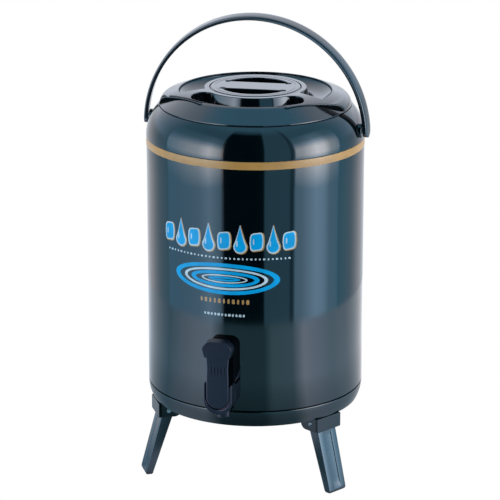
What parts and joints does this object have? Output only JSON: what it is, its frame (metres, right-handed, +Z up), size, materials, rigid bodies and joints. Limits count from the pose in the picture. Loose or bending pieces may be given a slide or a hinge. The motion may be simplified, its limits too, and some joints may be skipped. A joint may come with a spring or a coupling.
{
  "type": "water jug",
  "caption": "Insulated cylindrical water jug with a swinging bail handle, a screw lid with a centre cap, a push-lever tap and folding legs.",
  "frame": {"origin": "on the floor plane under the middle of the jug body", "axes": "+Z up along the body axis, -Y towards the tap, X along the handle pivots"},
  "size_m": [0.2572, 0.2872, 0.5196],
  "materials": {
    "body_paint": "high gloss dark teal",
    "lid_plastic": "gloss dark teal",
    "base_plastic": "satin dark teal",
    "handle_plastic": "satin slate blue",
    "tap_plastic": "fine matte dark navy",
    "gold": "satin gold foil",
    "liner": "natural white polyethylene",
    "foam": "open-cell polyurethane foam",
    "rubber": "matte black",
    "steel": "brushed"
  },
  "bodies": {
    "jug": {"body_shell": "body_paint", "gold_band": "gold", "shoulder_ring": "body_paint", "inner_liner": "liner", "foam_insulation": "foam", "base_cover": "base_plastic", "handle_pin_left": "steel", "handle_pin_right": "steel", "tap_housing": "tap_plastic", "tap_gasket": "rubber", "tap_washer": "rubber", "tap_nut": "liner", "lever_pin": "steel", "bracket_left": "base_plastic", "bracket_right": "base_plastic", "bracket_rear": "base_plastic", "bracket_screws": "steel", "leg_pin_left": "steel", "leg_pin_right": "steel", "leg_pin_rear": "steel"},
    "handle": {"handle_bail": "handle_plastic"},
    "lid_seal": {"lid_gasket": "rubber"},
    "lid": {"lid_shell": "lid_plastic", "lid_pan": "liner", "lid_foam": "foam"},
    "cap_seal": {"cap_gasket": "rubber"},
    "cap": {"cap_top": "lid_plastic", "cap_plug": "liner", "cap_foam": "foam"},
    "lever": {"tap_lever": "tap_plastic"},
    "valve": {"valve_stem": "steel", "valve_seal": "rubber", "valve_spring": "steel"},
    "leg_left": {"leg_left": "base_plastic", "foot_left": "rubber"},
    "leg_right": {"leg_right": "base_plastic", "foot_right": "rubber"},
    "leg_rear": {"leg_rear": "base_plastic", "foot_rear": "rubber"}
  },
  "joints": [
    {"name": "handle_swing", "type": "hinge", "parent": "jug", "child": "handle", "pos_m": [0, 0, 0.397], "axis": [1, 0, 0], "range_deg": [-78, 80]},
    {"name": "lid_lift", "type": "slide", "parent": "jug", "child": "lid_seal", "axis": [0, 0, 1], "range_m": [0, 0.022]},
    {"name": "lid_turn", "type": "hinge", "parent": "lid_seal", "child": "lid", "pos_m": [0, 0, 0.42], "axis": [0, 0, 1], "range_deg": [0, 90]},
    {"name": "cap_lift", "type": "slide", "parent": "lid", "child": "cap_seal", "axis": [0, 0, 1], "range_m": [0, 0.04]},
    {"name": "cap_turn", "type": "hinge", "parent": "cap_seal", "child": "cap", "pos_m": [0, 0, 0.432], "axis": [0, 0, 1], "range_deg": [0, 180]},
    {"name": "lever_press", "type": "hinge", "parent": "jug", "child": "lever", "pos_m": [0, -0.148, 0.185], "axis": [1, 0, 0], "range_deg": [0, 8], "stiffness_Nm_per_rad": 0.9, "springref_deg": -6.88},
    {"name": "valve_rise", "type": "slide", "parent": "jug", "child": "valve", "axis": [0, 0, 1], "range_m": [0, 0.0026], "deforming": ["valve_spring"]},
    {"name": "leg_left_fold", "type": "hinge", "parent": "jug", "child": "leg_left", "pos_m": [-0.0905, -0.05225, 0.0765], "axis": [0.5, -0.866, 0], "range_deg": [0, 104]},
    {"name": "leg_right_fold", "type": "hinge", "parent": "jug", "child": "leg_right", "pos_m": [0.0905, -0.05225, 0.0765], "axis": [0.5, 0.866, 0], "range_deg": [0, 104]},
    {"name": "leg_rear_fold", "type": "hinge", "parent": "jug", "child": "leg_rear", "pos_m": [0, 0.1045, 0.0765], "axis": [-1, 0, 0], "range_deg": [0, 104]}
  ],
  "couplings": [
    {"joint": "valve_rise", "follows": "lever_press", "m_per_rad": 0.0175}
  ]
}
